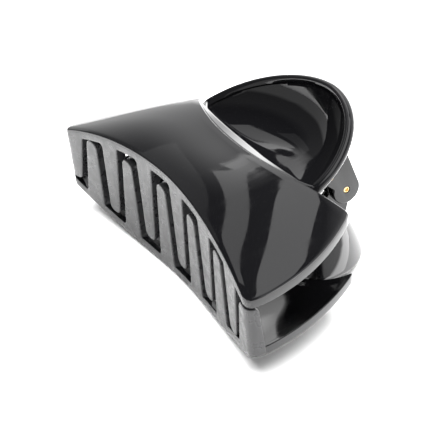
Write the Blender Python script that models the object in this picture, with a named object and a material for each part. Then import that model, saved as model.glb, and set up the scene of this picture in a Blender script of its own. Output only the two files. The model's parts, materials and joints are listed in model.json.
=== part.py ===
"""Sectioning hair clip: two identical jaws on a pin, held shut by a torsion spring.

The jaws are built in the clip's own frame, in millimetres: X runs from the teeth to
the hinge, Y along the hinge pin, Z across the closing plane. The lower jaw is the upper
one turned half a turn about X. The clip is then tipped on to the two places it rests on
and scaled to metres.
"""
import math

import bmesh
import bpy
import numpy as np
from mathutils import Matrix, Vector

# Vault: the big curved panel of one jaw
TOOTH_LINE_BOW = 5.9        # how far the tooth line is set back at mid width
BOW_POWER, BACK_POWER = 1.6, 2.4    # sharpness of the tooth line's and hinge side's curves
CREST_SOFTNESS = 0.15       # keeps every cross curve smooth at mid width
END_FLARE = 1.2             # the vault widens by this just behind the tooth line
CORNER_HALF_WIDTH = 45.0    # half width at the tooth line
TIP_HALF_WIDTH = 33.7       # half width at the hinge-side tips
FLARE_LENGTH = 1.8          # most of the flare is done after this length
TIP_X = 35.5                # X of the hinge-side tips
CREST_X = 25.0              # X of the hinge-side edge at mid width
CORNER_Z = 8.2              # outer height over the closing plane at the tooth corners
TIP_Z = 9.8                 # the same at the hinge-side tips
FRONT_RISE = 7.3            # arch rise at the tooth line
BACK_RISE = 7.5             # arch rise at the hinge-side edge
SWELL = 1.0                 # lengthwise swell of the vault
WALL = 2.2                  # wall of the vault

# Teeth
TOOTH_COUNT = 6
CORNER_TOOTH_INSET = 4.25   # from the corner to the first tooth's root centre
TOOTH_STAGGER = 5.25        # offset between the two jaws' end teeth
TOOTH_LEAN = 1.9            # the tips sit this much further along +Y than the roots
TOOTH_ROOT_WIDTH = 6.6
TOOTH_TIP_WIDTH = 4.0
TOOTH_DEPTH = 3.0
TOOTH_TIP_DEPTH = 2.2
TOOTH_TIP_Z = 10.4          # reach past the closing plane at mid width
TOOTH_TIP_DROP = 2.2        # less reach at the ends, following the arch
TOOTH_TIP_GAP = 0.4         # kept at least between a tip and the other jaw's wall
CORNER_TIP_GAP = 0.5        # the same at the corner tooth
CORNER_SIDE_INSET = 0.15    # the corner tooth's side sits inside the corner
TOOTH_INSET = 0.12          # tooth faces sit this far behind the band
TOOTH_ROOT_LAP = 1.3        # tooth roots run this far up into the wall

# Hinge
HINGE_X = 47.7
PIN_RADIUS = 0.85
PIN_CLEARANCE = 0.05        # radial, in the ears' holes
PIN_RECESS = 0.1            # pin ends behind the outer ears' faces
PIN_DIMPLE_RADIUS, PIN_DIMPLE_DEPTH = 0.45, 0.5
LUG_RADIUS = 3.8
LUG_THICKNESS = 2.4
LUG_GAP = 0.3
LUG_OUTER_Y = 13.6
LUG_REACH = (-9.1, 0.3)     # the ears' root along X, from the hinge
LUG_BITE = 1.2              # how far a lug runs into the scoop wall
LUG_INNER_Y = LUG_OUTER_Y - 2 * LUG_THICKNESS - LUG_GAP

# Spring
WIRE_RADIUS = 0.55
COIL_PIN_GAP = 1.2          # between pin and coil
COIL_TURNS = 8
COIL_END_GAP = 1.75         # between coil and inner ears
SPRING_GAP = 0.35           # between the spring's legs and the handles
COIL_RADIUS = PIN_RADIUS + COIL_PIN_GAP + WIRE_RADIUS
COIL_HALF_LENGTH = LUG_INNER_Y - COIL_END_GAP - WIRE_RADIUS

# Handle: a thumb scoop behind the vault
SCOOP_OVERHANG = 7.6                # end of the scoop behind the hinge
SCOOP_HALF_WIDTH = 26.3
SCOOP_COIL_GAP = 2.05               # between the coil and the floor's outside
SCOOP_WALL = 2.3
RIM_LEAD, RIM_POWER = 5.0, 1.88     # centre of the rim's curve behind the crest
RIM_START = 6.6                     # the rim leaves the vault's edge this far behind it
RIM_DROP, RIM_SLOPE = 1.33, 0.335   # rim below the vault's edge there, rise to the end
NECK_LAP, NECK_DROP = 1.6, 1.1      # the scoop's front wall starts inside the vault's edge
NECK_SWEEP = 7.8                    # and follows it backwards at the sides
PROFILE_POWER = 2.8                 # 2 is a round bowl, more is flatter with steeper walls
PROFILE_TURN = math.radians(63)     # share of the bowl's turn that the wall reaches

SCOOP_END_X = HINGE_X + SCOOP_OVERHANG
SCOOP_X = (CREST_X + SCOOP_END_X) / 2 - 2.15
SCOOP_FLOOR = COIL_RADIUS + WIRE_RADIUS + SCOOP_COIL_GAP

MM = 0.001


def soft_power(u, power):
    """|u| to a power, rounded off near 0 and still 1 at 1."""
    low = CREST_SOFTNESS ** power
    high = (1.0 + CREST_SOFTNESS ** 2) ** (power / 2)
    return ((u * u + CREST_SOFTNESS ** 2) ** (power / 2) - low) / (high - low)


def vault_section(v):
    """Half width, end height, rise and arch power at the lengthwise fraction v."""
    end_half = CORNER_HALF_WIDTH + END_FLARE
    half = end_half - (end_half - TIP_HALF_WIDTH) * v ** 2.15
    half -= END_FLARE * math.exp(-TIP_X * v / FLARE_LENGTH)
    end_z = CORNER_Z + (TIP_Z - CORNER_Z) * v ** 3
    rise = FRONT_RISE + (BACK_RISE - FRONT_RISE) * v + SWELL * math.sin(math.pi * v)
    return half, end_z, rise, 2.36 + 1.64 * v ** 1.3


def front_x(y):
    """X of the tooth line at Y."""
    share = min(1.0, abs(y) / CORNER_HALF_WIDTH)
    return TOOTH_LINE_BOW * (1.0 - soft_power(share, BOW_POWER))


def vault_point(u, v):
    """Outer surface of the vault; u runs across it, v from the teeth to the hinge side."""
    half, end_z, rise, power = vault_section(v)
    front = front_x(u * CORNER_HALF_WIDTH)
    back = CREST_X + (TIP_X - CREST_X) * soft_power(u, BACK_POWER)
    z = end_z + rise * (1.0 - soft_power(u, power))
    return (front + (back - front) * v, u * half, z)


def vault_back_z(y):
    """Outer height of the vault's hinge-side edge at Y."""
    return vault_point(min(1.0, abs(y) / TIP_HALF_WIDTH), 1.0)[2]


def vault_front_z(y):
    """Outer height of the vault at the tooth line at Y."""
    return vault_point(min(1.0, abs(y) / CORNER_HALF_WIDTH), 0.0)[2]


def rim_curve():
    """Plan outline and height of the scoop's outer rim, all the way round."""
    centre, rim_start_x = CREST_X + RIM_LEAD, CREST_X + RIM_START
    span = SCOOP_END_X - centre
    start = math.acos(((rim_start_x - centre) / span) ** (RIM_POWER / 2))
    side = SCOOP_HALF_WIDTH * math.sin(start) ** (2 / RIM_POWER)
    low_z = vault_back_z(side) - RIM_DROP
    points = []
    for a in np.linspace(-start, start, 61):
        x = centre + span * math.cos(a) ** (2 / RIM_POWER)
        y = SCOOP_HALF_WIDTH * math.copysign(abs(math.sin(a)) ** (2 / RIM_POWER), a)
        points.append((x, y, low_z + RIM_SLOPE * (x - rim_start_x)))
    for w in np.linspace(1.0, -1.0, 41)[1:-1]:
        x = CREST_X - NECK_LAP + NECK_SWEEP * abs(w) ** 3.5
        points.append((x, w * side, vault_back_z(w * side) - NECK_DROP))
    return np.array(points)


RIM = rim_curve()
RIM_ANGLE = np.unwrap(np.arctan2(RIM[:, 1], RIM[:, 0] - SCOOP_X))
RIM_REACH = np.hypot(RIM[:, 0] - SCOOP_X, RIM[:, 1])


def rim_at(angle):
    """Reach from the scoop's centre and height of the rim in one direction."""
    turn = (angle - RIM_ANGLE[0]) % (2 * math.pi) + RIM_ANGLE[0]
    angles = np.append(RIM_ANGLE, RIM_ANGLE[0] + 2 * math.pi)
    reach = np.interp(turn, angles, np.append(RIM_REACH, RIM_REACH[0]))
    height = np.interp(turn, angles, np.append(RIM[:, 2], RIM[0, 2]))
    return float(reach), float(height)


def scoop_point(angle, rho):
    """Outside of the scoop: rho runs from 0 at its centre to 1 at the rim."""
    reach, height = rim_at(angle)
    across = rho * math.sin(PROFILE_TURN) ** (2 / PROFILE_POWER)
    fall = (1.0 - min(1.0, across ** PROFILE_POWER)) ** (1 / PROFILE_POWER)
    lift = (1.0 - fall) / (1.0 - math.cos(PROFILE_TURN) ** (2 / PROFILE_POWER))
    return (SCOOP_X + reach * rho * math.cos(angle), reach * rho * math.sin(angle),
            SCOOP_FLOOR + (height - SCOOP_FLOOR) * lift)


def scoop_z(x, y):
    """Height of the outside of the scoop over a plan position."""
    angle = math.atan2(y, x - SCOOP_X)
    return scoop_point(angle, min(1.0, math.hypot(x - SCOOP_X, y) / rim_at(angle)[0]))[2]


def new_object(name, verts, faces):
    """A mesh object with its faces turned outwards."""
    mesh = bpy.data.meshes.new(name)
    mesh.from_pydata([tuple(float(c) for c in v) for v in verts], [], faces)
    bm = bmesh.new()
    bm.from_mesh(mesh)
    bmesh.ops.remove_doubles(bm, verts=bm.verts, dist=1e-5)
    bmesh.ops.recalc_face_normals(bm, faces=bm.faces)
    bm.to_mesh(mesh)
    bm.free()
    obj = bpy.data.objects.new(name, mesh)
    bpy.context.scene.collection.objects.link(obj)
    return obj


def grid_faces(rows, cols, start=0, closed=False):
    """Quads of a grid of rows x cols vertices."""
    faces = []
    for i in range(rows - 1):
        for j in range(cols if closed else cols - 1):
            k = (j + 1) % cols
            faces.append((start + i * cols + j, start + i * cols + k,
                          start + (i + 1) * cols + k, start + (i + 1) * cols + j))
    return faces


def vault():
    """The vault as a closed sheet of even depth along Z."""
    across, along = 41, 13
    outer = [vault_point(u, v) for v in np.linspace(0, 1, along)
             for u in np.linspace(-1, 1, across)]
    inner = [(x, y, z - WALL) for x, y, z in outer]
    n = len(outer)
    faces = grid_faces(along, across) + [f[::-1] for f in grid_faces(along, across, n)]
    loop = list(range(across))
    loop += [i * across + across - 1 for i in range(1, along)]
    loop += [(along - 1) * across + j for j in range(across - 2, -1, -1)]
    loop += [i * across for i in range(along - 2, 0, -1)]
    for a, b in zip(loop, loop[1:] + loop[:1]):
        faces.append((a, n + a, n + b, b))
    return new_object("vault", outer + inner, faces)


def scoop():
    """The handle as a closed bowl of even wall."""
    around, rings = 64, 10
    rho = np.linspace(0, 1, rings)[1:]
    angles = np.linspace(0, 2 * math.pi, around, endpoint=False)
    outer = np.array([[scoop_point(a, r) for a in angles] for r in rho])
    step = 1e-3
    inner = np.empty_like(outer)
    for i, r in enumerate(rho):
        for j, a in enumerate(angles):
            p = Vector(outer[i, j])
            du = Vector(scoop_point(a, r - step)) - p
            dv = Vector(scoop_point(a + step, r)) - Vector(scoop_point(a - step, r))
            normal = du.cross(dv).normalized()
            normal = normal if normal.z > 0 else -normal
            inner[i, j] = p + normal * SCOOP_WALL
    inner[-1, :, 2] = outer[-1, :, 2]
    n = outer.size // 3
    verts = [tuple(p) for p in outer.reshape(-1, 3)] + [tuple(p) for p in inner.reshape(-1, 3)]
    verts += [scoop_point(0, 0), (SCOOP_X, 0, SCOOP_FLOOR + SCOOP_WALL)]
    rows = len(rho)
    faces = grid_faces(rows, around, 0, True)
    faces += [f[::-1] for f in grid_faces(rows, around, n, True)]
    last = (rows - 1) * around
    for j in range(around):
        k = (j + 1) % around
        faces.append((2 * n, k, j))
        faces.append((2 * n + 1, n + j, n + k))
        faces.append((last + j, last + k, n + last + k, n + last + j))
    return new_object("scoop", verts, faces)


def tooth_root_y(index):
    """Root centre of a tooth: even steps that leave room for the other jaw's teeth."""
    first = CORNER_HALF_WIDTH - CORNER_TOOTH_INSET
    pitch = (2 * first - TOOTH_STAGGER) / (TOOTH_COUNT - 1)
    return first - pitch * index


def tooth(index):
    """One tapered tooth with a rounded tip, following the tooth line."""
    root_y = tooth_root_y(index)
    tip_y = root_y + TOOTH_LEAN
    reach = TOOTH_TIP_Z - TOOTH_TIP_DROP * (tip_y / CORNER_HALF_WIDTH) ** 2
    tip_z = -min(reach, vault_front_z(tip_y) - WALL - TOOTH_TIP_GAP)
    left, right = TOOTH_ROOT_WIDTH / 2, TOOTH_ROOT_WIDTH / 2
    if index == 0:
        tip_z = -(CORNER_Z - WALL - CORNER_TIP_GAP)
        left = CORNER_TOOTH_INSET - CORNER_SIDE_INSET
    round_start = tip_z + TOOTH_TIP_WIDTH / 2
    levels = [(z, 1.0) for z in np.linspace(1.0, 0.0, 8)]
    levels += [(0.0, math.cos(a)) for a in np.linspace(0, math.radians(78), 6)[1:]]
    verts = []
    for step, (t, squeeze) in enumerate(levels):
        blend = 1.0 - t
        mid = root_y + TOOTH_LEAN * blend
        half_l = (left + (TOOTH_TIP_WIDTH / 2 - left) * blend) * squeeze
        half_r = (right + (TOOTH_TIP_WIDTH / 2 - right) * blend) * squeeze
        if index == 0:
            mid, half_l, half_r = corner_span(root_y, left, blend, squeeze)
        depth = TOOTH_DEPTH + (TOOTH_TIP_DEPTH - TOOTH_DEPTH) * blend
        for y in (mid + half_l, mid - half_r):
            top = vault_front_z(y) - WALL + TOOTH_ROOT_LAP
            z = round_start + (top - round_start) * t
            if t == 0.0:
                z = round_start - TOOTH_TIP_WIDTH / 2 * math.sqrt(1 - squeeze ** 2)
            for x in (front_x(y) + TOOTH_INSET, front_x(y) + depth):
                verts.append((x, y, z))
    faces = [(0, 1, 3, 2)]
    for s in range(len(levels) - 1):
        a, b = 4 * s, 4 * s + 4
        faces += [(a, b, b + 1, a + 1), (a + 2, a + 3, b + 3, b + 2),
                  (a, a + 2, b + 2, b), (a + 1, b + 1, b + 3, a + 3)]
    last = 4 * (len(levels) - 1)
    faces.append((last, last + 2, last + 3, last + 1))
    return new_object(f"tooth_{index}", verts, faces)


def corner_span(root_y, left, blend, squeeze):
    """The end tooth keeps to the corner: its outer side stays upright."""
    outer = root_y + left
    width = left + TOOTH_ROOT_WIDTH / 2
    width += (TOOTH_TIP_WIDTH - width) * blend
    mid = outer - width / 2
    return mid, width / 2 * squeeze, width / 2 * squeeze


def lug(y_low):
    """A hinge ear that runs up into the scoop wall."""
    y_high = y_low + LUG_THICKNESS
    arc = [(HINGE_X + LUG_RADIUS * math.cos(a), LUG_RADIUS * math.sin(a))
           for a in np.linspace(math.radians(15), math.radians(-200), 33)]
    tops = [HINGE_X + reach for reach in np.linspace(*LUG_REACH, 9)]
    rings = []
    for y in (y_low, y_high):
        ring = [(x, y, z) for x, z in arc]
        ring += [(x, y, scoop_z(x, y) + LUG_BITE) for x in tops]
        rings.append(ring)
    n = len(rings[0])
    faces = [tuple(range(n)), tuple(range(2 * n - 1, n - 1, -1))]
    for i in range(n):
        k = (i + 1) % n
        faces.append((i, n + i, n + k, k))
    return new_object("lug", rings[0] + rings[1], faces)


def rod(name, radius, half_length, segments=48):
    """A cylinder along Y on the hinge axis."""
    ring = [(HINGE_X + radius * math.cos(a), radius * math.sin(a))
            for a in np.linspace(0, 2 * math.pi, segments, endpoint=False)]
    verts = [(x, y, z) for y in (-half_length, half_length) for x, z in ring]
    faces = [tuple(range(segments)), tuple(range(2 * segments - 1, segments - 1, -1))]
    faces += grid_faces(2, segments, 0, True)
    return new_object(name, verts, faces)


def combine(target, tools, operation):
    """Union or difference with each tool in turn; the tools are removed."""
    for tool in tools:
        tool.hide_render = True
        tool.display_type = 'WIRE'
        mod = target.modifiers.new("combine", 'BOOLEAN')
        mod.solver = 'EXACT'
        mod.operation = operation
        mod.object = tool
        bake(target)
        bpy.data.objects.remove(tool, do_unlink=True)
    return target


def bake(obj):
    """Replace the mesh by its evaluated form."""
    bpy.context.view_layer.update()
    graph = bpy.context.evaluated_depsgraph_get()
    mesh = bpy.data.meshes.new_from_object(obj.evaluated_get(graph))
    obj.modifiers.clear()
    obj.data = mesh


def jaw():
    """One moulding: vault, scoop, teeth and two ears, with the pin hole through both."""
    body = vault()
    ears = [lug(-LUG_OUTER_Y), lug(LUG_INNER_Y)]
    combine(body, [scoop()] + ears + [tooth(i) for i in range(TOOTH_COUNT)], 'UNION')
    bore = rod("bore", PIN_RADIUS + PIN_CLEARANCE, LUG_OUTER_Y + 5.0)
    combine(body, [bore], 'DIFFERENCE')
    bm = bmesh.new()
    bm.from_mesh(body.data)
    bmesh.ops.remove_doubles(bm, verts=bm.verts, dist=0.004)
    bmesh.ops.dissolve_degenerate(bm, dist=0.004, edges=bm.edges)
    bm.to_mesh(body.data)
    bm.free()
    return body


def pin():
    """The hinge pin, with a shallow dimple in each end."""
    half_length = LUG_OUTER_Y - PIN_RECESS
    body = rod("hinge_pin", PIN_RADIUS, half_length)
    dimples = []
    for side in (-1, 1):
        dimple = rod("dimple", PIN_DIMPLE_RADIUS, PIN_DIMPLE_DEPTH, 24)
        dimple.data.transform(Matrix.Translation((0, side * half_length, 0)))
        dimples.append(dimple)
    return combine(body, dimples, 'DIFFERENCE')


def spring_path():
    """Centre line: a leg up from the lower handle, the coil, a leg up to the upper one."""
    leg = scoop_z(HINGE_X + COIL_RADIUS, COIL_HALF_LENGTH) - SPRING_GAP - WIRE_RADIUS * 1.6
    x = HINGE_X + COIL_RADIUS
    path = [(x, -COIL_HALF_LENGTH, -leg), (x, -COIL_HALF_LENGTH, -leg / 2)]
    for k in np.linspace(0, 1, COIL_TURNS * 16 + 1):
        a = 2 * math.pi * COIL_TURNS * k
        path.append((HINGE_X + COIL_RADIUS * math.cos(a),
                     COIL_HALF_LENGTH * (2 * k - 1), COIL_RADIUS * math.sin(a)))
    path += [(x, COIL_HALF_LENGTH, leg / 2), (x, COIL_HALF_LENGTH, leg)]
    return [Vector(p) for p in path]


def spring():
    """The torsion spring as one round wire."""
    path = spring_path()
    sides, verts = 8, []
    across = Vector((0, 1, 0))
    for i, p in enumerate(path):
        tangent = (path[min(i + 1, len(path) - 1)] - path[max(i - 1, 0)]).normalized()
        side = across.cross(tangent).normalized()
        up = tangent.cross(side)
        for a in np.linspace(0, 2 * math.pi, sides, endpoint=False):
            verts.append(p + (side * math.cos(a) + up * math.sin(a)) * WIRE_RADIUS)
    n = len(path)
    faces = grid_faces(n, sides, 0, True)
    faces += [tuple(range(sides)), tuple(range(n * sides - 1, (n - 1) * sides - 1, -1))]
    return new_object("torsion_spring", verts, faces)


def material(name, colour, metallic, roughness):
    """A plain Principled material."""
    mat = bpy.data.materials.new(name)
    mat.use_nodes = True
    shader = mat.node_tree.nodes["Principled BSDF"]
    shader.inputs["Base Color"].default_value = (*colour, 1.0)
    shader.inputs["Metallic"].default_value = metallic
    shader.inputs["Roughness"].default_value = roughness
    return mat


def resting_tilt(points):
    """Tilt about Y that brings the vault and the handle's end to one level below."""
    tilt = 0.0
    for _ in range(6):
        turned = points @ np.array(Matrix.Rotation(tilt, 3, 'Y')).T
        near = points[:, 0] < TIP_X
        a = turned[near][turned[near][:, 2].argmin()]
        b = turned[~near][turned[~near][:, 2].argmin()]
        tilt += math.atan2(b[2] - a[2], b[0] - a[0])
    return tilt


def place(parts, hinge):
    """Tip the clip on to its two rests, put the origin below its middle, go to metres."""
    corners = np.array([v.co[:] for p in parts for v in p.data.vertices])
    tilt = Matrix.Rotation(resting_tilt(corners), 4, 'Y')
    turned = corners @ np.array(tilt.to_3x3()).T
    low, high = turned.min(axis=0), turned.max(axis=0)
    shift = Matrix.Translation((-(low[0] + high[0]) / 2, -(low[1] + high[1]) / 2, -low[2]))
    whole = Matrix.Scale(MM, 4) @ shift @ tilt
    axis = whole @ Vector(hinge)
    for part in parts:
        part.data.transform(whole)
        part.data.transform(Matrix.Translation(-axis))
        part.location = axis
    return axis


def smooth(obj, angle):
    """Round faces shade smooth and real edges stay sharp."""
    obj.data.shade_smooth()
    obj.data.set_sharp_from_angle(angle=math.radians(angle))


def main():
    for obj in list(bpy.data.objects):
        bpy.data.objects.remove(obj, do_unlink=True)
    upper = jaw()
    upper.name = "upper_jaw"
    lower = bpy.data.objects.new("lower_jaw", upper.data.copy())
    bpy.context.scene.collection.objects.link(lower)
    lower.data.transform(Matrix.Rotation(math.pi, 4, 'X'))
    parts = [lower, upper, pin(), spring()]
    place(parts, (HINGE_X, 0.0, 0.0))
    plastic = material("black_gloss_plastic", (0.012, 0.012, 0.014), 0.0, 0.12)
    brass = material("brass", (0.78, 0.58, 0.28), 1.0, 0.25)
    steel = material("spring_steel", (0.55, 0.56, 0.58), 1.0, 0.3)
    for part, mat in zip(parts, (plastic, plastic, brass, steel)):
        part.data.materials.clear()
        part.data.materials.append(mat)
        smooth(part, 30)


main()
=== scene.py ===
"""Looks of the sectioning clip: both glossy jaws, the pin and the spring, on a pale floor.

Shapes are made in the clip's own frame, in millimetres: X from the teeth to the hinge,
Y along the pin, Z across the closing plane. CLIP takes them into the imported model's frame.
The lower jaw is the upper one turned half a turn about X.
"""
import json
import math

import bmesh
import bpy
import numpy as np
from mathutils import Matrix, Vector

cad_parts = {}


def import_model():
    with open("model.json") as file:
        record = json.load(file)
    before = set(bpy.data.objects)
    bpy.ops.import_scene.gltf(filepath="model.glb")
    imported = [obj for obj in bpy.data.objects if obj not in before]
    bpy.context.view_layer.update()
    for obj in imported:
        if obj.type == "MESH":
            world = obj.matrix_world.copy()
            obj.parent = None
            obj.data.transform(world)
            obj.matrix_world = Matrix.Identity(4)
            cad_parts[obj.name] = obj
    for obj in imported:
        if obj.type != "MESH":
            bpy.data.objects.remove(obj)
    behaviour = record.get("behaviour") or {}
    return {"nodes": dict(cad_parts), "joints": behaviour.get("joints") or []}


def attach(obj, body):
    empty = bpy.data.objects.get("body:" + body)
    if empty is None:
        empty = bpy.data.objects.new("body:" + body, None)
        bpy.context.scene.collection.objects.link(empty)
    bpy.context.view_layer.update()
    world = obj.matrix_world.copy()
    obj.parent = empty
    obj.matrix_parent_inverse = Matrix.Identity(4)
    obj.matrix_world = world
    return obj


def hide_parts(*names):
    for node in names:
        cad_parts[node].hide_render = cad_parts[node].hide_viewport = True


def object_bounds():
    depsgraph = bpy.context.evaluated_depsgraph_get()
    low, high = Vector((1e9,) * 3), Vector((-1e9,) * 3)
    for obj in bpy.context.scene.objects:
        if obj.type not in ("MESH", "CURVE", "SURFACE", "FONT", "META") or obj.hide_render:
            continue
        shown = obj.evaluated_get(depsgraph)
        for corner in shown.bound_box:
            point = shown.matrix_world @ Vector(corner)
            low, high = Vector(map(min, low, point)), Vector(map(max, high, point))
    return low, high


# Vault
TOOTH_LINE_BOW, BOW_POWER, BACK_POWER, CREST_SOFTNESS = 5.9, 1.6, 2.4, 0.15
END_FLARE, FLARE_LENGTH, CORNER_HALF_WIDTH, TIP_HALF_WIDTH = 1.2, 1.8, 45.0, 33.7
TIP_X, CREST_X = 35.5, 25.0
CORNER_Z, TIP_Z = 8.2, 9.8
FRONT_RISE, BACK_RISE, SWELL = 7.3, 7.5, 1.0
TAPER_POWER, END_Z_POWER = 2.15, 3  # how late the vault narrows, and its ends rise
FRONT_ARCH_POWER, ARCH_POWER_GAIN, ARCH_GAIN_POWER = 2.36, 1.64, 1.3
WALL, RIM_WALL = 1.9, 2.5           # sheet, and its thicker edge
RIM_STEP = (1.35, 1.75)             # the edge thickens between these distances from it
STEP_STOPS = (1.2, 1.35, 1.5, 1.65, 1.8)    # lines of points where the sheet thickens
BACK_STOPS = (2.6, 2.25, 1.95)      # and before the hinge-side edge
MESH_HALF_WIDTH, MESH_INSET = 46.0, 2.6     # spacing of the points across the vault
UNDER_ROUND = 0.3                   # rounding of the sheet's inner edge
FRONT_ROUND, END_ROUND = 0.35, 0.5  # edge rounding
BACK_ROUND = 0.5                    # rounding of the hinge-side edge
FRONT_CORNER, TIP_CORNER = 1.7, 0.9  # corner radii seen from above

# Teeth
TOOTH_COUNT, TOOTH_PITCH, FIRST_TOOTH_Y = 6, 15.25, 40.75
TOOTH_LEAN, TOOTH_ROOT_WIDTH, TOOTH_TIP_WIDTH = 1.9, 6.6, 4.0
TOOTH_TIP_Z, TOOTH_TIP_DROP, TOOTH_TIP_GAP, CORNER_TOOTH_REACH = 10.4, 2.2, 0.4, 5.4
COMB_DEPTH, COMB_TIP_DEPTH = 3.0, 2.2
COMB_EDGE = 0.32                    # edge rounding of the teeth
ROOT_RADIUS, TIP_ROUNDNESS = 1.1, 0.97      # tip radius as a share of the tip's half width
CORNER_TIP_RADIUS, CORNER_TIP_ROUNDNESS, COMB_CORNER = 1.3, 0.95, 0.5
COMB_PROUD = 0.05
BAND = 2.2                          # height of the band that the teeth grow from
CORNER_WRAP = 3.4                   # how far the end tooth returns round the corner

# Handle scoop
SCOOP_X, SCOOP_END_X, SCOOP_HALF_WIDTH = 38.0, 55.3, 26.3
RIM_CENTRE_X, RIM_POWER = 30.0, 1.88
RIM_START_X, RIM_Z, RIM_SLOPE = 31.6, 12.95, 0.335
FRONT_X, FRONT_SWEEP, FRONT_SWEEP_POWER = 25.2, 6.2, 3.5
FRONT_DROP = 1.75                   # the scoop's front rim below the vault's edge
NECK_REACH, NECK_HALF_WIDTH = 2.6, 23.0     # sheet that leads from the vault to the scoop
NECK_STEP, NECK_SLOPE, NECK_WALL, NECK_POWER = 0.25, 0.36, 2.6, 1.8
NECK_LAP = (-1.0, -0.4)             # where it starts, under the vault's edge
NECK_EDGE = ((1.0, 0.0), (1.06, 0.06), (1.1, 0.16), (1.12, 0.3))    # reach, drop of its edge
SCOOP_FLOOR, SCOOP_WALL = 5.2, 2.0
LIP, LIP_HEIGHT = 0.45, 2.0         # inward lip of the scoop's rim
LIP_START = (28.5, 33.0)            # it grows between these distances from the teeth
RIM_CAP, RIM_BLUR = 0.7, math.radians(1.5)  # height of the rounded rim, smoothing of its line
PROFILE_POWER, PROFILE_TURN = 2.8, math.radians(63)

# Hinge and spring
HINGE_X, HOLE_RADIUS, PIN_RADIUS, PIN_HALF_LENGTH = 47.7, 0.90, 0.85, 13.5
LUG_RADIUS, LUG_THICKNESS, LUG_GAP, LUG_OUTER_Y = 3.8, 2.4, 0.3, 13.6
LUG_TOP_X, LUG_BITE, LUG_EDGE = (38.6, 48.0), 1.0, 0.3
WIRE_RADIUS, COIL_RADIUS, COIL_TURNS, COIL_HALF_LENGTH = 0.55, 2.6, 8, 6.2
SPRING_GAP = 0.35

SMOOTH_ANGLE = 32                   # edges sharper than this stay sharp, in degrees

# Camera and light
CAMERA_TARGET = (-0.0121, -0.0032, -0.0036)   # from the middle of the model's box
CAMERA_AZIMUTH, CAMERA_ELEVATION, CAMERA_ROLL = 29.99, 31.81, -0.35
CAMERA_DISTANCE, CAMERA_LENS, SENSOR_WIDTH = 0.385, 133.1, 36.0
PANEL_HEIGHT = 1.0
PANEL_TURN = -23.5
PANELS = [                          # name, middle, size, turn in degrees, brightness
    ("left", (0.151, 0.60), (0.145, 0.90), PANEL_TURN, 1.25),
    ("right", (0.375, 0.02), (0.40, 0.98), PANEL_TURN, 1.85),
    ("far", (0.51, 0.80), (0.30, 0.60), 0, 1.7),
    ("dim", (-0.02, 0.98), (0.30, 0.95), PANEL_TURN, 0.22),
]
WALL_DARK, WALL_BRIGHT, HORIZON_BRIGHT, ZENITH = 0.15, 1.25, 6.0, 0.03
HORIZON_LEFT = 0.12                 # share of the horizon's brightness away from the right
FILL_POWER, FILL_SIZE, FILL_HEIGHT = 140, 2.4, 1.6
FLOOR_HALF = 3.0


def smoothstep(low, high, x):
    t = min(1.0, max(0.0, (x - low) / (high - low)))
    return t * t * (3 - 2 * t)


def rounding(distance, radius):
    """Drop of a rounded edge at a distance from it."""
    if distance >= radius:
        return 0.0
    return radius - math.sqrt(max(0.0, radius ** 2 - (radius - distance) ** 2))


# ---------------------------------------------------------------- mesh helpers

def new_object(name, verts, faces, materials):
    mesh = bpy.data.meshes.new(name)
    mesh.from_pydata([tuple(float(c) for c in v) for v in verts], [], faces)
    bm = bmesh.new()
    bm.from_mesh(mesh)
    bmesh.ops.remove_doubles(bm, verts=bm.verts, dist=1e-5)
    bmesh.ops.recalc_face_normals(bm, faces=bm.faces)
    bm.to_mesh(mesh)
    bm.free()
    for material in materials:
        mesh.materials.append(material)
    obj = bpy.data.objects.new(name, mesh)
    bpy.context.scene.collection.objects.link(obj)
    return obj


def grid_faces(rows, cols, start=0, closed=False):
    faces = []
    for i in range(rows - 1):
        for j in range(cols if closed else cols - 1):
            k = (j + 1) % cols
            faces.append((start + i * cols + j, start + i * cols + k,
                          start + (i + 1) * cols + k, start + (i + 1) * cols + j))
    return faces


def slab(name, top, under, across, materials):
    """Close two matching grids of points, a given number of rows across, into one solid."""
    n = len(top)
    along = n // across
    faces = grid_faces(across, along) + [f[::-1] for f in grid_faces(across, along, n)]
    loop = list(range(along)) + [i * along + along - 1 for i in range(1, across)]
    loop += [(across - 1) * along + j for j in range(along - 2, -1, -1)]
    loop += [i * along for i in range(across - 2, 0, -1)]
    for a, b in zip(loop, loop[1:] + loop[:1]):
        faces.append((a, n + a, n + b, b))
    return new_object(name, top + under, faces, materials)


def combine(target, tools, operation):
    """Join or cut with each tool in turn and remove the tools."""
    for tool in tools:
        mod = target.modifiers.new("combine", 'BOOLEAN')
        mod.solver = 'MANIFOLD'
        mod.operation = operation
        mod.object = tool
        bpy.context.view_layer.update()
        graph = bpy.context.evaluated_depsgraph_get()
        mesh = bpy.data.meshes.new_from_object(target.evaluated_get(graph))
        target.modifiers.clear()
        target.data = mesh
        bpy.data.objects.remove(tool, do_unlink=True)
    return target


def round_corners(points, radii, steps=7):
    """Replace each corner of a closed outline by an arc of its radius."""
    out = []
    n = len(points)
    for i, (point, radius) in enumerate(zip(points, radii)):
        p = Vector(point)
        a, b = Vector(points[i - 1]) - p, Vector(points[(i + 1) % n]) - p
        half = a.angle(b) / 2
        if radius <= 0 or half > math.radians(88):
            out.append(p)
            continue
        reach = min(radius / math.tan(half), 0.49 * a.length, 0.49 * b.length)
        radius = reach * math.tan(half)
        centre = p + (a.normalized() + b.normalized()).normalized() * radius / math.sin(half)
        start, end = p + a.normalized() * reach - centre, p + b.normalized() * reach - centre
        sweep = start.angle_signed(end)
        for k in range(steps + 1):
            out.append(centre + Matrix.Rotation(-sweep * k / steps, 2) @ start)
    return out


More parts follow.
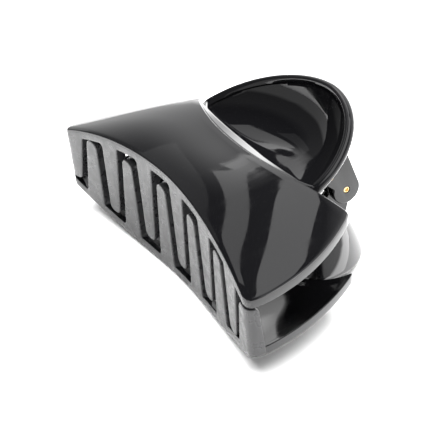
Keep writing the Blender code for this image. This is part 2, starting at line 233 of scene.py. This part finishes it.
def plate(outline, depth, edge, steps=3):
    """Verts and faces of an outline given depth, with rounded edges; depth is the last axis."""
    clean = [p for i, p in enumerate(outline) if (p - outline[i - 1]).length > 0.02]
    n = len(clean)
    area = sum(clean[i - 1].x * clean[i].y - clean[i].x * clean[i - 1].y for i in range(n))
    normals = []
    for i in range(n):
        along = (clean[(i + 1) % n] - clean[i - 1]).normalized()
        inward = Vector((-along.y, along.x))
        normals.append(inward if area > 0 else -inward)
    turns = [math.pi / 2 * k / steps for k in range(steps + 1)]
    rings = [(edge * (1 - math.sin(a)), edge * (1 - math.cos(a))) for a in turns]
    rings += [(inset, depth - drop) for inset, drop in reversed(rings)]
    verts = [(p.x + m.x * inset, p.y + m.y * inset, t)
             for inset, t in rings for p, m in zip(clean, normals)]
    faces = grid_faces(len(rings), n, 0, True)
    faces += [tuple(range(n)), tuple(range(len(rings) * n - 1, (len(rings) - 1) * n - 1, -1))]
    return verts, faces


# ---------------------------------------------------------------- vault

def soft_power(u, power):
    """|u| to a power, rounded off near 0 and still 1 at 1."""
    low = CREST_SOFTNESS ** power
    high = (1.0 + CREST_SOFTNESS ** 2) ** (power / 2)
    return ((u * u + CREST_SOFTNESS ** 2) ** (power / 2) - low) / (high - low)


def vault_section(v):
    """Half width, end height, rise and arch power at the lengthwise fraction v."""
    end_half = CORNER_HALF_WIDTH + END_FLARE
    half = end_half - (end_half - TIP_HALF_WIDTH) * v ** TAPER_POWER
    half -= END_FLARE * math.exp(-TIP_X * v / FLARE_LENGTH)
    end_z = CORNER_Z + (TIP_Z - CORNER_Z) * v ** END_Z_POWER
    rise = FRONT_RISE + (BACK_RISE - FRONT_RISE) * v + SWELL * math.sin(math.pi * v)
    return half, end_z, rise, FRONT_ARCH_POWER + ARCH_POWER_GAIN * v ** ARCH_GAIN_POWER


def vault_point(u, v):
    half, end_z, rise, power = vault_section(v)
    front = TOOTH_LINE_BOW * (1.0 - soft_power(u, BOW_POWER))
    back = CREST_X + (TIP_X - CREST_X) * soft_power(u, BACK_POWER)
    z = end_z + rise * (1.0 - soft_power(u, power))
    return Vector((front + (back - front) * v, u * half, z))


def vault_length(u):
    """Distance from the tooth line to the hinge-side edge."""
    return vault_point(u, 1.0).x - vault_point(u, 0.0).x


def vault_back_z(y):
    return vault_point(min(1.0, abs(y) / TIP_HALF_WIDTH), 1.0).z


def vault_front_z(y):
    return vault_point(min(1.0, abs(y) / CORNER_HALF_WIDTH), 0.0).z


def rounded_uv(u, v):
    """Pull a place on the vault in from its corners, so they are round seen from above."""
    half, length = vault_section(v)[0], vault_length(u)
    radius = FRONT_CORNER if v < 0.5 else TIP_CORNER
    a = (1 - abs(u)) * half
    b = (v if v < 0.5 else 1 - v) * length
    if a >= radius or b >= radius:
        return u, v
    p, q = radius - a, radius - b
    scale = max(p, q) / math.hypot(p, q)
    a, b = radius - p * scale, radius - q * scale
    share = b / length
    return math.copysign(1 - a / half, u), (share if v < 0.5 else 1 - share)


def edge_stops(radius):
    """Distances from an edge where the mesh needs a line of points."""
    arc = [radius * (1 - math.sin(math.pi / 2 * k / 6)) for k in range(6, -1, -1)]
    arc[0] = 0.0
    step = [d for d in STEP_STOPS if d > radius + 0.1]
    return arc + step


def vault_grid():
    """(u, v, distance to the end, front and back edges) over the whole vault."""
    ends = edge_stops(END_ROUND)
    reach = 1 - MESH_INSET / MESH_HALF_WIDTH
    columns = [-1 + d / MESH_HALF_WIDTH for d in ends]
    columns += list(np.linspace(-reach, reach, 121))
    columns += [1 - d / MESH_HALF_WIDTH for d in reversed(ends)]
    front_stops, rows = edge_stops(FRONT_ROUND), []
    for u in columns:
        length = vault_length(u)
        front = [d / length for d in front_stops]
        tail = [1 - d / length for d in BACK_STOPS]
        tail += [1 - d / length for d in reversed(edge_stops(BACK_ROUND)[:7])]
        mid = np.linspace(front[-1], tail[0], 32)[1:-1]
        rows.append(front + list(mid) + tail)
    return columns, rows


def vault(materials):
    columns, rows = vault_grid()
    outer, inner = [], []
    for u0, line in zip(columns, rows):
        for v0 in line:
            u, v = rounded_uv(u0, min(1.0, max(0.0, v0)))
            p = vault_point(u, v)
            length, half = vault_length(u), vault_section(v)[0]
            ends = (1 - abs(u0)) * half
            front, back = v0 * length, (1 - v0) * length
            drop = max(rounding(ends, END_ROUND), rounding(front, FRONT_ROUND),
                       rounding(back, BACK_ROUND))
            near = min(ends, front, back)
            wall = RIM_WALL + (WALL - RIM_WALL) * smoothstep(*RIM_STEP, near)
            lift = rounding(near, UNDER_ROUND)
            outer.append(p - Vector((0, 0, drop)))
            inner.append(p - Vector((0, 0, wall - lift)))
    return slab("vault", outer, inner, len(columns), materials)


# ---------------------------------------------------------------- teeth

def front_path():
    """The vault's front edge seen from above, turning the corners: (w, point) pairs.

    w is Y along the front, and past the corners it goes on as distance.
    """
    half = [Vector(vault_point(y / CORNER_HALF_WIDTH, 0.0).xy)
            for y in np.linspace(0, CORNER_HALF_WIDTH - FRONT_CORNER, 60)]
    w = [p.y for p in half]
    turn = [(1 - (FRONT_CORNER - d) / 45.0, 0.0)
            for d in np.linspace(0, FRONT_CORNER, 9)[1:]]
    turn += [(1.0, d / TIP_X) for d in np.linspace(0, 6.0, 34)[1:]]
    for u, v in turn:
        p = Vector(vault_point(*rounded_uv(u, v)).xy)
        w.append(w[-1] + (p - half[-1]).length)
        half.append(p)
    w = [-x for x in reversed(w[1:])] + w
    points = [Vector((p.x, -p.y)) for p in reversed(half[1:])] + half
    return np.array(w), np.array([tuple(p) for p in points])


PATH_W, PATH_XY = front_path()


def on_path(w):
    """Point and inward direction of the front edge at w."""
    at = np.array([np.interp(w, PATH_W, PATH_XY[:, k]) for k in (0, 1)])
    ahead = np.array([np.interp(w + 0.2, PATH_W, PATH_XY[:, k]) for k in (0, 1)])
    behind = np.array([np.interp(w - 0.2, PATH_W, PATH_XY[:, k]) for k in (0, 1)])
    along = (ahead - behind) / np.linalg.norm(ahead - behind)
    return at, np.array([along[1], -along[0]])


def tooth_outline(index):
    """Corners and radii of one tooth, going from its +Y root to its -Y root."""
    root = FIRST_TOOTH_Y - TOOTH_PITCH * index
    tip = root + TOOTH_LEAN
    tip_z = TOOTH_TIP_Z - TOOTH_TIP_DROP * (tip / CORNER_HALF_WIDTH) ** 2
    tip_z = -min(tip_z, vault_front_z(tip) - BAND - TOOTH_TIP_GAP)
    half, end = TOOTH_ROOT_WIDTH / 2, TOOTH_TIP_WIDTH / 2
    if index:
        return ([(root + half, None), (tip + end, tip_z), (tip - end, tip_z),
                 (root - half, None)],
                [ROOT_RADIUS, end * TIP_ROUNDNESS, end * TIP_ROUNDNESS, ROOT_RADIUS])
    outside = CORNER_HALF_WIDTH + CORNER_WRAP
    return ([(outside - 0.8, -CORNER_TOOTH_REACH), (tip - end, -CORNER_TOOTH_REACH),
             (root - half, None)],
            [CORNER_TIP_RADIUS, end * CORNER_TIP_ROUNDNESS, ROOT_RADIUS])


def comb_outline():
    """Outline of band and teeth: w along the front edge, z up."""
    outside = CORNER_HALF_WIDTH + CORNER_WRAP
    inside = -(CORNER_HALF_WIDTH + 0.9)
    corners, radii = [], []
    for index in range(TOOTH_COUNT):
        points, sizes = tooth_outline(index)
        for (w, z), size in zip(points, sizes):
            corners.append((w, vault_front_z(w) - BAND if z is None else z))
            radii.append(size)
    corners.append((inside, vault_front_z(inside) - BAND))
    radii.append(COMB_CORNER)
    for w in np.linspace(inside, outside, 90):
        corners.append((w, vault_front_z(w) - FRONT_ROUND))
        radii.append(COMB_CORNER if w in (inside, outside) else 0.0)
    return round_corners(corners, radii)


def comb(materials):
    """Band and teeth as one plate, bent along the front edge."""
    verts, faces = plate(comb_outline(), COMB_DEPTH, COMB_EDGE)
    obj = new_object("comb", verts, faces, materials)
    bm = bmesh.new()
    bm.from_mesh(obj.data)
    bmesh.ops.triangulate(bm, faces=[f for f in bm.faces if len(f.verts) > 4])
    for w in np.arange(-46, 50, 1.0):
        geometry = bm.verts[:] + bm.edges[:] + bm.faces[:]
        bmesh.ops.bisect_plane(bm, geom=geometry, dist=1e-4, plane_co=(w, 0, 0),
                               plane_no=(1, 0, 0))
    for vert in bm.verts:
        w, z, t = vert.co
        at, inward = on_path(w)
        root = vault_front_z(w) - BAND
        taper = min(1.0, max(0.0, (root - z) / 22.0))
        t *= 1 + (COMB_TIP_DEPTH / COMB_DEPTH - 1) * taper
        x, y = at + inward * (t - COMB_PROUD)
        vert.co = (x, y, z)
    bmesh.ops.recalc_face_normals(bm, faces=bm.faces)
    bm.to_mesh(obj.data)
    bm.free()
    return obj


# ---------------------------------------------------------------- scoop

def rim_polar():
    """Reach and height of the scoop's rim round its centre, as smooth periodic curves."""
    span = SCOOP_END_X - RIM_CENTRE_X
    start = math.acos(((RIM_START_X - RIM_CENTRE_X) / span) ** (RIM_POWER / 2))
    points = []
    for a in np.linspace(-start, start, 241):
        x = RIM_CENTRE_X + span * math.cos(a) ** (2 / RIM_POWER)
        y = SCOOP_HALF_WIDTH * math.copysign(abs(math.sin(a)) ** (2 / RIM_POWER), a)
        points.append((x, y, RIM_Z + RIM_SLOPE * (x - RIM_START_X) - RIM_CAP))
    side = points[-1][1]
    for share in np.linspace(1.0, -1.0, 161)[1:-1]:
        y = share * side
        x = FRONT_X + FRONT_SWEEP * abs(share) ** FRONT_SWEEP_POWER
        points.append((x, y, vault_back_z(y) - FRONT_DROP - RIM_CAP))
    rim = np.array(points)
    angle = np.unwrap(np.arctan2(rim[:, 1], rim[:, 0] - SCOOP_X))
    reach = np.hypot(rim[:, 0] - SCOOP_X, rim[:, 1])
    even = np.linspace(0, 2 * math.pi, 1440, endpoint=False)
    turned = (even - angle[0]) % (2 * math.pi) + angle[0]
    smooth = []
    for values in (reach, rim[:, 2]):
        series = np.interp(turned, np.append(angle, angle[0] + 2 * math.pi),
                           np.append(values, values[0]))
        spectrum = np.fft.rfft(series)
        spectrum *= np.exp(-0.5 * (np.arange(len(spectrum)) * RIM_BLUR) ** 2)
        smooth.append(np.fft.irfft(spectrum, len(series)))
    return even, smooth[0], smooth[1]


POLAR_ANGLE, POLAR_REACH, POLAR_HEIGHT = rim_polar()


def rim_at(angle):
    period = 2 * math.pi
    return (float(np.interp(angle % period, POLAR_ANGLE, POLAR_REACH, period=period)),
            float(np.interp(angle % period, POLAR_ANGLE, POLAR_HEIGHT, period=period)))


def scoop_point(angle, rho):
    """Outside of the scoop: rho runs from 0 at its centre to 1 at the rim."""
    reach, height = rim_at(angle)
    across = rho * math.sin(PROFILE_TURN) ** (2 / PROFILE_POWER)
    fall = (1.0 - min(1.0, across ** PROFILE_POWER)) ** (1 / PROFILE_POWER)
    lift = (1.0 - fall) / (1.0 - math.cos(PROFILE_TURN) ** (2 / PROFILE_POWER))
    return Vector((SCOOP_X + reach * rho * math.cos(angle),
                   reach * rho * math.sin(angle),
                   SCOOP_FLOOR + (height - SCOOP_FLOOR) * lift))


def scoop_z(x, y):
    """Height of the outside of the scoop over a plan position."""
    angle = math.atan2(y, x - SCOOP_X)
    return scoop_point(angle, min(1.0, math.hypot(x - SCOOP_X, y) / rim_at(angle)[0])).z


def neck_profile(reach):
    """(distance from the vault's edge, drop) from under the edge to the neck's far end."""
    profile = [(start, NECK_STEP) for start in NECK_LAP]
    profile += [(share * reach, NECK_STEP + NECK_SLOPE * share * reach)
                for share in np.linspace(0.0, 1.0, 7)[:-1]]
    profile += [(share * reach, NECK_STEP + NECK_SLOPE * reach + drop)
                for share, drop in NECK_EDGE]
    return profile


def neck(materials):
    """The sheet that runs on from the vault's edge, down to the scoop's front wall."""
    top, under = [], []
    rows = np.linspace(-NECK_HALF_WIDTH, NECK_HALF_WIDTH, 81)
    for y in rows:
        reach = NECK_REACH * (1 - (abs(y) / NECK_HALF_WIDTH) ** NECK_POWER)
        edge = vault_point(y / TIP_HALF_WIDTH, 1.0)
        profile = neck_profile(reach)
        top += [(edge.x + out, y, edge.z - drop) for out, drop in profile]
        under += [(edge.x + out, y, edge.z - NECK_WALL) for out, drop in profile]
    return slab("neck", top, under, len(rows), materials)


def scoop(materials):
    """The thumb scoop: an even wall with an inward lip and a rounded rim."""
    around = 240
    angles = np.linspace(0, 2 * math.pi, around, endpoint=False)
    spread = list(np.linspace(0, 0.86, 24)[1:]) + list(np.linspace(0.86, 1.0, 17)[1:])
    outer, inner, caps = [], [], []
    for rho in spread:
        for a in angles:
            p = scoop_point(a, rho)
            up = (p - scoop_point(a, rho - 1e-3)).normalized()
            side = scoop_point(a + 1e-2, rho) - scoop_point(a - 1e-2, rho)
            normal = up.cross(side).normalized()
            normal = normal if normal.z > 0 else -normal
            height = rim_at(a)[1] + RIM_CAP - p.z
            thick = SCOOP_WALL
            lip = LIP * smoothstep(*LIP_START, p.x)
            thick += lip * (1 - smoothstep(LIP_HEIGHT - 0.3, LIP_HEIGHT, height))
            outer.append(p)
            inner.append(p + normal * thick)
            if rho == spread[-1]:
                caps.append((p, normal * thick / 2, up))
    rows, verts = len(spread), list(outer)
    for turn in np.linspace(0, math.pi, 10)[1:-1]:
        verts += [p + half - half * math.cos(turn) + up * RIM_CAP * math.sin(turn)
                  for p, half, up in caps]
    for r in reversed(range(rows)):
        verts += inner[r * around:(r + 1) * around]
    total = len(verts) // around
    faces = grid_faces(total, around, 0, True)
    verts += [Vector((SCOOP_X, 0, SCOOP_FLOOR)), Vector((SCOOP_X, 0, SCOOP_FLOOR + SCOOP_WALL))]
    for j in range(around):
        k = (j + 1) % around
        faces.append((total * around, k, j))
        faces.append((total * around + 1, (total - 1) * around + j, (total - 1) * around + k))
    return new_object("scoop", verts, faces, materials)


# ---------------------------------------------------------------- ears, pin, spring

def ear(y_low, materials):
    """A hinge ear with rounded edges that runs up into the scoop."""
    arc = [Vector((HINGE_X + LUG_RADIUS * math.cos(a), LUG_RADIUS * math.sin(a)))
           for a in np.linspace(math.radians(15), math.radians(-200), 60)]
    mid = y_low + LUG_THICKNESS / 2
    top = [Vector((x, scoop_z(x, mid) + LUG_BITE))
           for x in np.linspace(LUG_TOP_X[0], LUG_TOP_X[1], 12)]
    verts, faces = plate(arc + top, LUG_THICKNESS, LUG_EDGE)
    return new_object("ear", [(x, y_low + t, z) for x, z, t in verts], faces, materials)


def lathe(name, profile, materials, segments=64):
    """Turn a (radius, y) profile round the hinge axis; it starts and ends on the axis."""
    turns = np.linspace(0, 2 * math.pi, segments, endpoint=False)
    verts = [(HINGE_X + r * math.cos(a), y, r * math.sin(a)) for r, y in profile[1:-1]
             for a in turns]
    rows = len(profile) - 2
    faces = grid_faces(rows, segments, 0, True)
    verts += [(HINGE_X, profile[0][1], 0), (HINGE_X, profile[-1][1], 0)]
    for j in range(segments):
        k = (j + 1) % segments
        faces.append((len(verts) - 2, k, j))
        faces.append((len(verts) - 1, (rows - 1) * segments + j, (rows - 1) * segments + k))
    return new_object(name, verts, faces, materials)


def pin(materials):
    """Brass pin whose ends are dimpled, with a rolled edge."""
    edge = [(0.0, -0.45), (0.30, -0.47), (0.40, -0.40), (0.44, -0.25), (0.46, -0.08),
            (0.52, -0.01), (0.60, 0.0), (0.70, -0.02), (0.79, -0.07), (0.84, -0.16),
            (PIN_RADIUS, -0.28)]
    half = [(r, PIN_HALF_LENGTH + y) for r, y in edge]
    profile = [(r, -y) for r, y in half] + list(reversed(half))
    return lathe("hinge_pin_brass", profile, materials)


def spring_path():
    leg = scoop_z(HINGE_X + COIL_RADIUS, COIL_HALF_LENGTH) - SPRING_GAP - WIRE_RADIUS * 1.6
    x = HINGE_X + COIL_RADIUS
    path = [Vector((x, -COIL_HALF_LENGTH, z)) for z in np.linspace(-leg, -1.0, 10)]
    for k in np.linspace(0, 1, COIL_TURNS * 48 + 1):
        a = 2 * math.pi * COIL_TURNS * k
        path.append(Vector((HINGE_X + COIL_RADIUS * math.cos(a),
                            COIL_HALF_LENGTH * (2 * k - 1), COIL_RADIUS * math.sin(a))))
    return path + [Vector((x, COIL_HALF_LENGTH, z)) for z in np.linspace(1.0, leg, 10)]


def spring(materials):
    """One round wire with rounded ends, swept along the spring's line."""
    path = spring_path()
    sides, verts = 18, []
    tips = [(WIRE_RADIUS * (1 - math.cos(a)), math.sin(a))
            for a in np.linspace(math.radians(12), math.pi / 2, 5)]
    rings = [(path[0], path[1] - path[0], share, back) for back, share in tips]
    rings += [(path[i], path[i + 1] - path[i - 1], 1.0, None) for i in range(1, len(path) - 1)]
    rings += [(path[-1], path[-1] - path[-2], share, -back) for back, share in reversed(tips)]
    for centre, along, share, back in rings:
        tangent = along.normalized()
        centre = centre + tangent * (back or 0.0)
        side = Vector((0, 1, 0)).cross(tangent).normalized()
        up = tangent.cross(side)
        for a in np.linspace(0, 2 * math.pi, sides, endpoint=False):
            verts.append(centre + (side * math.cos(a) + up * math.sin(a)) * WIRE_RADIUS * share)
    n = len(rings)
    faces = grid_faces(n, sides, 0, True)
    faces += [tuple(range(sides)), tuple(range(n * sides - 1, (n - 1) * sides - 1, -1))]
    return new_object("torsion_spring_wire", verts, faces, materials)


# ---------------------------------------------------------------- materials

def shader_material(name, colour, metallic, roughness):
    mat = bpy.data.materials.new(name)
    mat.use_nodes = True
    shader = mat.node_tree.nodes["Principled BSDF"]
    shader.inputs["Base Color"].default_value = (*colour, 1.0)
    shader.inputs["Metallic"].default_value = metallic
    shader.inputs["Roughness"].default_value = roughness
    return mat, mat.node_tree, shader


def noise(tree, scale, detail=4.0, stretch=(1, 1, 1)):
    """Object-space noise, stretched along the axes; scale is in cycles per metre."""
    place = tree.nodes.new("ShaderNodeTexCoord")
    mapping = tree.nodes.new("ShaderNodeMapping")
    mapping.inputs["Scale"].default_value = stretch
    texture = tree.nodes.new("ShaderNodeTexNoise")
    texture.inputs["Scale"].default_value = scale
    texture.inputs["Detail"].default_value = detail
    tree.links.new(place.outputs["Object"], mapping.inputs["Vector"])
    tree.links.new(mapping.outputs["Vector"], texture.inputs["Vector"])
    return texture


def ramp(tree, source, low, high, start=0.35, end=0.65):
    """Map a 0 to 1 value to low..high."""
    node = tree.nodes.new("ShaderNodeMapRange")
    node.inputs["From Min"].default_value = start
    node.inputs["From Max"].default_value = end
    node.inputs["To Min"].default_value = low
    node.inputs["To Max"].default_value = high
    tree.links.new(source, node.inputs["Value"])
    return node.outputs["Result"]


def bump(tree, source, distance, strength, chain=None):
    node = tree.nodes.new("ShaderNodeBump")
    node.inputs["Distance"].default_value = distance
    node.inputs["Strength"].default_value = strength
    tree.links.new(source, node.inputs["Height"])
    if chain:
        tree.links.new(chain, node.inputs["Normal"])
    return node.outputs["Normal"]


def gloss_plastic():
    """Polished black plastic: faint flow waviness, uneven gloss and hairline scuffs."""
    mat, tree, shader = shader_material("gloss_black_plastic", (0.0035, 0.0035, 0.004), 0, 0.06)
    shader.inputs["IOR"].default_value = 1.52
    wave = noise(tree, 55, 1.0)
    grain = noise(tree, 900, 3.0)
    scuff = noise(tree, 260, 6.0, (0.25, 2.2, 1.0))
    normal = bump(tree, wave.outputs["Fac"], 0.0002, 0.06)
    normal = bump(tree, grain.outputs["Fac"], 0.000003, 0.2, normal)
    tree.links.new(normal, shader.inputs["Normal"])
    rough = ramp(tree, scuff.outputs["Fac"], 0.035, 0.11, 0.45, 0.75)
    tree.links.new(rough, shader.inputs["Roughness"])
    return mat


def satin_plastic():
    """The same plastic as it leaves an unpolished mould face: teeth and edges."""
    mat, tree, shader = shader_material("satin_black_plastic", (0.02, 0.02, 0.021), 0, 0.3)
    shader.inputs["IOR"].default_value = 1.52
    cloud = noise(tree, 420, 5.0)
    grain = noise(tree, 2600, 3.0)
    normal = bump(tree, cloud.outputs["Fac"], 0.00006, 0.35)
    normal = bump(tree, grain.outputs["Fac"], 0.00001, 0.5, normal)
    tree.links.new(normal, shader.inputs["Normal"])
    rough = ramp(tree, cloud.outputs["Fac"], 0.22, 0.40)
    tree.links.new(rough, shader.inputs["Roughness"])
    return mat


def drawn_metal(name, colour, roughness, stretch):
    """Metal with fine draw lines along its length."""
    mat, tree, shader = shader_material(name, colour, 1.0, roughness)
    lines = noise(tree, 1500, 3.0, stretch)
    rough = ramp(tree, lines.outputs["Fac"], roughness * 0.7, roughness * 1.5)
    tree.links.new(rough, shader.inputs["Roughness"])
    normal = bump(tree, lines.outputs["Fac"], 0.00001, 0.3)
    tree.links.new(normal, shader.inputs["Normal"])
    return mat


def floor_material():
    mat, tree, shader = shader_material("pale_floor", (0.9, 0.9, 0.9), 0, 0.6)
    shader.inputs["Specular IOR Level"].default_value = 0.2
    return mat


# ---------------------------------------------------------------- assembly

def clip_matrix(frame):
    """From the clip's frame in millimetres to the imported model's, from its hinge and jaws.

    The jaws are half-turn copies, so the line between their middles is the clip's Z.
    """
    middles = []
    for node in ("lower_jaw", "upper_jaw"):
        co = np.array([v.co for v in frame["nodes"][node].data.vertices])
        middles.append(co.mean(axis=0))
    up = middles[1] - middles[0]
    tilt = math.atan2(up[0], up[2])
    hinge = Vector(frame["joints"][0]["pos_m"])
    return (Matrix.Translation(hinge) @ Matrix.Rotation(tilt, 4, 'Y')
            @ Matrix.Scale(0.001, 4) @ Matrix.Translation((-HINGE_X, 0, 0)))


def jaw(gloss, satin):
    """The whole moulding as one closed mesh."""
    body = vault([gloss, satin])
    ears = [ear(-LUG_OUTER_Y, [gloss, satin]),
            ear(LUG_OUTER_Y - 2 * LUG_THICKNESS - LUG_GAP, [gloss, satin])]
    teeth = comb([gloss, satin])
    for face in teeth.data.polygons:
        face.material_index = 1
    combine(body, [scoop([gloss, satin]), neck([gloss, satin]), teeth] + ears, 'UNION')
    bore = [(0, -20), (HOLE_RADIUS, -20), (HOLE_RADIUS, 20), (0, 20)]
    combine(body, [lathe("bore", bore, [gloss, satin])], 'DIFFERENCE')
    return body


def shade(obj, angle):
    obj.data.shade_smooth()
    obj.data.set_sharp_from_angle(angle=math.radians(angle))


def place(obj, name, node, body, slot, matrix):
    """Bring a piece into the model's frame and let it stand for its CAD node."""
    obj.name = name
    obj.data.transform(matrix)
    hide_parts(node)
    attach(obj, body)


def floor():
    """A wide pale tabletop."""
    half = FLOOR_HALF
    corners = [(-half, -half, 0), (half, -half, 0), (half, half, 0), (-half, half, 0)]
    obj = new_object("floor", corners, [(0, 1, 2, 3)], [floor_material()])
    return obj


def area_light(name, place_at, aim, size, energy):
    data = bpy.data.lights.new(name, 'AREA')
    data.shape = 'RECTANGLE'
    data.size, data.size_y = size
    data.energy = energy
    obj = bpy.data.objects.new(name, data)
    obj.location = place_at
    obj.rotation_euler = (Vector(aim) - Vector(place_at)).to_track_quat('-Z', 'Y').to_euler()
    bpy.context.scene.collection.objects.link(obj)
    return obj


def softbox(name, centre, size, turn, brightness):
    """A panel overhead, facing down, given by the brightness of its face."""
    x, y = centre
    light = area_light(name, (x, y, PANEL_HEIGHT), (x, y, 0), size,
                       brightness * math.pi * size[0] * size[1])
    light.rotation_euler = (0, 0, math.radians(turn))
    return light


def math_node(tree, operation, first, second):
    node = tree.nodes.new("ShaderNodeMath")
    node.operation = operation
    tree.links.new(first, node.inputs[0])
    tree.links.new(second, node.inputs[1])
    return node.outputs["Value"]


def world_light():
    """A bright wall to the right and behind over a white horizon, dark overhead.

    The camera itself sees plain white.
    """
    world = bpy.data.worlds.new("studio")
    world.use_nodes = True
    tree = world.node_tree
    direction = tree.nodes.new("ShaderNodeTexCoord")
    split = tree.nodes.new("ShaderNodeSeparateXYZ")
    tree.links.new(direction.outputs["Generated"], split.inputs["Vector"])
    side = ramp(tree, split.outputs["X"], WALL_DARK, WALL_BRIGHT, 0.08, 0.28)
    height = ramp(tree, split.outputs["Z"], 1.0, ZENITH, 0.60, 0.80)
    horizon = ramp(tree, split.outputs["Z"], HORIZON_BRIGHT, 0.0, 0.20, 0.30)
    right = ramp(tree, split.outputs["X"], HORIZON_LEFT, 1.0, 0.36, 0.52)
    horizon = math_node(tree, 'MULTIPLY', horizon, right)
    ray = tree.nodes.new("ShaderNodeLightPath")
    wall = math_node(tree, 'MULTIPLY', side, height)
    wall = math_node(tree, 'MAXIMUM', wall, horizon)
    seen = math_node(tree, 'MAXIMUM', wall, ray.outputs["Is Camera Ray"])
    tree.links.new(seen, tree.nodes["Background"].inputs["Color"])
    bpy.context.scene.world = world


def camera(middle):
    target = Vector(middle) + Vector(CAMERA_TARGET)
    turn, lift = math.radians(CAMERA_AZIMUTH), math.radians(CAMERA_ELEVATION)
    away = Vector((-math.sin(turn) * math.cos(lift), -math.cos(turn) * math.cos(lift),
                   math.sin(lift)))
    data = bpy.data.cameras.new("camera")
    data.lens, data.sensor_width = CAMERA_LENS, SENSOR_WIDTH
    data.clip_start, data.clip_end = 0.01, 20.0
    obj = bpy.data.objects.new("camera", data)
    obj.location = target + away * CAMERA_DISTANCE
    look = (-away).to_track_quat('-Z', 'Y').to_matrix().to_4x4()
    roll = Matrix.Rotation(math.radians(CAMERA_ROLL), 4, 'Z')
    obj.rotation_euler = (look @ roll).to_euler()
    bpy.context.scene.collection.objects.link(obj)
    bpy.context.scene.camera = obj


def lights():
    world_light()
    for panel in PANELS:
        softbox(*panel)
    fill = area_light("fill", (0, 0, FILL_HEIGHT), (0, 0, 0), (FILL_SIZE, FILL_SIZE), FILL_POWER)
    fill.visible_glossy = False
    bpy.context.scene.view_settings.view_transform = 'Standard'


def main():
    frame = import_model()
    cad_box = [list(corner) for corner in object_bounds()]
    middle = [(a + b) / 2 for a, b in zip(*cad_box)]
    matrix = clip_matrix(frame)
    half_turn = Matrix.Rotation(math.pi, 4, 'X')
    upper = jaw(gloss_plastic(), satin_plastic())
    lower = bpy.data.objects.new("lower", upper.data.copy())
    bpy.context.scene.collection.objects.link(lower)
    place(upper, "upper_jaw_moulding", "upper_jaw", "upper", "jaw_plastic", matrix)
    place(lower, "lower_jaw_moulding", "lower_jaw", "lower", "jaw_plastic",
          matrix @ half_turn)
    brass = drawn_metal("pin_brass", (0.83, 0.62, 0.30), 0.22, (1, 0.05, 1))
    steel = drawn_metal("spring_steel", (0.56, 0.57, 0.58), 0.25, (1, 1, 1))
    rod, wire = pin([brass]), spring([steel])
    place(rod, "hinge_pin_brass", "hinge_pin", "lower", "pin_brass", matrix)
    place(wire, "torsion_spring_wire", "torsion_spring", "lower", "spring_steel", matrix)
    for obj in (upper, lower, rod, wire):
        shade(obj, SMOOTH_ANGLE)
    floor()
    camera(middle)
    lights()


main()
